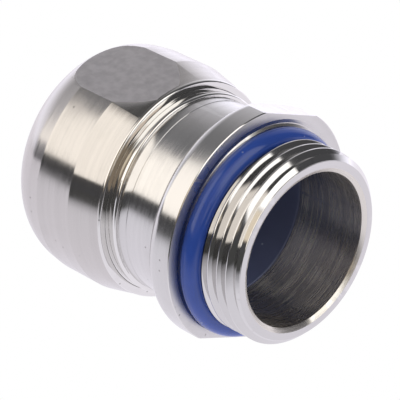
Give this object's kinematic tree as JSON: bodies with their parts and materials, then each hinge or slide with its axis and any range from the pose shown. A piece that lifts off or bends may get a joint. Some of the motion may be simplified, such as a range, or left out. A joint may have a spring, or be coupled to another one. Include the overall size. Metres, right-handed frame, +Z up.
{
  "type": "cable gland",
  "caption": "Straight steel cable gland: flanged body with a male thread, domed clamping nut with spanner flats, blue seals and inner clamp fingers that close round the cable.",
  "frame": {"origin": "on the gland's axis, in the plane of the flange's sealing face", "axes": "+X along the axis out of the threaded end, -X out of the domed nut, +Z up as in the picture"},
  "size_m": [0.0386, 0.0308, 0.0308],
  "materials": {
    "body_steel": "fine turned",
    "nut_steel": "satin turned",
    "blue_seal": "satin",
    "blue_insert": "satin",
    "clamp_plastic": "moulded",
    "slip_plastic": "moulded"
  },
  "bodies": {
    "body": {"gland_body": "body_steel", "flange_seal": "blue_seal", "nut_seal": "blue_seal", "sealing_insert": "blue_insert", "clamp_cage": "clamp_plastic"},
    "slip_ring": {"slip_ring": "slip_plastic"},
    "dome_nut": {"dome_nut": "nut_steel"},
    "clamp_finger_1": {"clamp_finger_1": "clamp_plastic"},
    "clamp_finger_2": {"clamp_finger_2": "clamp_plastic"},
    "clamp_finger_3": {"clamp_finger_3": "clamp_plastic"},
    "clamp_finger_4": {"clamp_finger_4": "clamp_plastic"},
    "clamp_finger_5": {"clamp_finger_5": "clamp_plastic"},
    "clamp_finger_6": {"clamp_finger_6": "clamp_plastic"},
    "clamp_finger_7": {"clamp_finger_7": "clamp_plastic"},
    "clamp_finger_8": {"clamp_finger_8": "clamp_plastic"},
    "clamp_finger_9": {"clamp_finger_9": "clamp_plastic"},
    "clamp_finger_10": {"clamp_finger_10": "clamp_plastic"},
    "clamp_finger_11": {"clamp_finger_11": "clamp_plastic"},
    "clamp_finger_12": {"clamp_finger_12": "clamp_plastic"},
    "clamp_finger_13": {"clamp_finger_13": "clamp_plastic"},
    "clamp_finger_14": {"clamp_finger_14": "clamp_plastic"}
  },
  "joints": [
    {"name": "nut_travel", "type": "slide", "parent": "body", "child": "slip_ring", "axis": [-1, 0, 0], "range_m": [-0.0023, 0.0023]},
    {"name": "nut_turn", "type": "hinge", "parent": "slip_ring", "child": "dome_nut", "pos_m": [-0.02, 0, 0], "axis": [-1, 0, 0], "range_deg": [-540, 540]},
    {"name": "clamp_finger_1_bend", "type": "hinge", "parent": "body", "child": "clamp_finger_1", "pos_m": [-0.0212, 0, 0.01018], "axis": [0, -1, 0], "range_deg": [-10.5, 10.5]},
    {"name": "clamp_finger_2_bend", "type": "hinge", "parent": "body", "child": "clamp_finger_2", "pos_m": [-0.0212, 0.00441, 0.00917], "axis": [0, -0.901, 0.4339], "range_deg": [-10.5, 10.5]},
    {"name": "clamp_finger_3_bend", "type": "hinge", "parent": "body", "child": "clamp_finger_3", "pos_m": [-0.0212, 0.00796, 0.00634], "axis": [0, -0.6235, 0.7818], "range_deg": [-10.5, 10.5]},
    {"name": "clamp_finger_4_bend", "type": "hinge", "parent": "body", "child": "clamp_finger_4", "pos_m": [-0.0212, 0.00992, 0.00226], "axis": [0, -0.2225, 0.9749], "range_deg": [-10.5, 10.5]},
    {"name": "clamp_finger_5_bend", "type": "hinge", "parent": "body", "child": "clamp_finger_5", "pos_m": [-0.0212, 0.00992, -0.00226], "axis": [0, 0.2225, 0.9749], "range_deg": [-10.5, 10.5]},
    {"name": "clamp_finger_6_bend", "type": "hinge", "parent": "body", "child": "clamp_finger_6", "pos_m": [-0.0212, 0.00796, -0.00634], "axis": [0, 0.6235, 0.7818], "range_deg": [-10.5, 10.5]},
    {"name": "clamp_finger_7_bend", "type": "hinge", "parent": "body", "child": "clamp_finger_7", "pos_m": [-0.0212, 0.00441, -0.00917], "axis": [0, 0.901, 0.4339], "range_deg": [-10.5, 10.5]},
    {"name": "clamp_finger_8_bend", "type": "hinge", "parent": "body", "child": "clamp_finger_8", "pos_m": [-0.0212, 0, -0.01018], "axis": [0, 1, 0], "range_deg": [-10.5, 10.5]},
    {"name": "clamp_finger_9_bend", "type": "hinge", "parent": "body", "child": "clamp_finger_9", "pos_m": [-0.0212, -0.00441, -0.00917], "axis": [0, 0.901, -0.4339], "range_deg": [-10.5, 10.5]},
    {"name": "clamp_finger_10_bend", "type": "hinge", "parent": "body", "child": "clamp_finger_10", "pos_m": [-0.0212, -0.00796, -0.00634], "axis": [0, 0.6235, -0.7818], "range_deg": [-10.5, 10.5]},
    {"name": "clamp_finger_11_bend", "type": "hinge", "parent": "body", "child": "clamp_finger_11", "pos_m": [-0.0212, -0.00992, -0.00226], "axis": [0, 0.2225, -0.9749], "range_deg": [-10.5, 10.5]},
    {"name": "clamp_finger_12_bend", "type": "hinge", "parent": "body", "child": "clamp_finger_12", "pos_m": [-0.0212, -0.00992, 0.00226], "axis": [0, -0.2225, -0.9749], "range_deg": [-10.5, 10.5]},
    {"name": "clamp_finger_13_bend", "type": "hinge", "parent": "body", "child": "clamp_finger_13", "pos_m": [-0.0212, -0.00796, 0.00634], "axis": [0, -0.6235, -0.7818], "range_deg": [-10.5, 10.5]},
    {"name": "clamp_finger_14_bend", "type": "hinge", "parent": "body", "child": "clamp_finger_14", "pos_m": [-0.0212, -0.00441, 0.00917], "axis": [0, -0.901, -0.4339], "range_deg": [-10.5, 10.5]}
  ],
  "couplings": [
    {"joint": "nut_travel", "follows": "nut_turn", "m_per_rad": 0.00023873},
    {"joint": "clamp_finger_1_bend", "follows": "nut_turn", "ratio": -0.019191},
    {"joint": "clamp_finger_2_bend", "follows": "nut_turn", "ratio": -0.019191},
    {"joint": "clamp_finger_3_bend", "follows": "nut_turn", "ratio": -0.019191},
    {"joint": "clamp_finger_4_bend", "follows": "nut_turn", "ratio": -0.019191},
    {"joint": "clamp_finger_5_bend", "follows": "nut_turn", "ratio": -0.019191},
    {"joint": "clamp_finger_6_bend", "follows": "nut_turn", "ratio": -0.019191},
    {"joint": "clamp_finger_7_bend", "follows": "nut_turn", "ratio": -0.019191},
    {"joint": "clamp_finger_8_bend", "follows": "nut_turn", "ratio": -0.019191},
    {"joint": "clamp_finger_9_bend", "follows": "nut_turn", "ratio": -0.019191},
    {"joint": "clamp_finger_10_bend", "follows": "nut_turn", "ratio": -0.019191},
    {"joint": "clamp_finger_11_bend", "follows": "nut_turn", "ratio": -0.019191},
    {"joint": "clamp_finger_12_bend", "follows": "nut_turn", "ratio": -0.019191},
    {"joint": "clamp_finger_13_bend", "follows": "nut_turn", "ratio": -0.019191},
    {"joint": "clamp_finger_14_bend", "follows": "nut_turn", "ratio": -0.019191}
  ]
}
